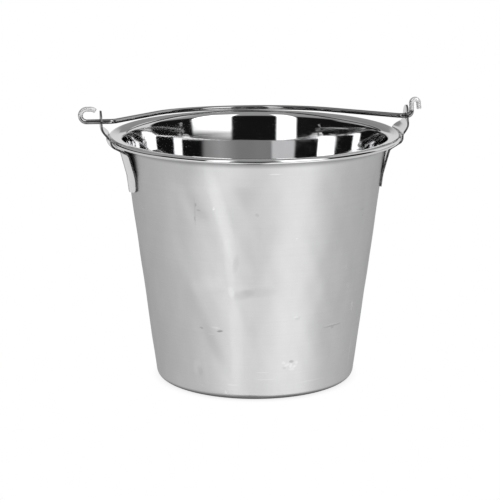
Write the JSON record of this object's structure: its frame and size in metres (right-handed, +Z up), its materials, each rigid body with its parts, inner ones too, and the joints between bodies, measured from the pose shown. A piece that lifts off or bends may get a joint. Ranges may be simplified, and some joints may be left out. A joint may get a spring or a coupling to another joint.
{
  "type": "feed bucket",
  "caption": "Tapered drawn steel pail with a rolled rim, flat foot ring, two welded side ears and a swinging wire bail with hooked ends.",
  "frame": {"origin": "centre of the foot ring, on the floor the pail stands on", "axes": "+Z up along the pail's axis; the ears stand on +X and -X, on the bail's hinge line; at rest the bail lies folded on the +Y side of the rim"},
  "size_m": [0.3662, 0.3096, 0.2987],
  "materials": {
    "drawn_steel": "satin outside, polished inside and on the rim",
    "ear_steel": "polished",
    "wire_steel": "bright drawn"
  },
  "bodies": {
    "pail": {"pail_body": "drawn_steel", "left_ear": "ear_steel", "right_ear": "ear_steel"},
    "handle": {"bail": "wire_steel"}
  },
  "joints": [
    {"name": "bail_swing", "type": "hinge", "parent": "pail", "child": "handle", "pos_m": [0, 0, 0.279], "axis": [1, 0, 0], "range_deg": [0, 189.5]}
  ]
}
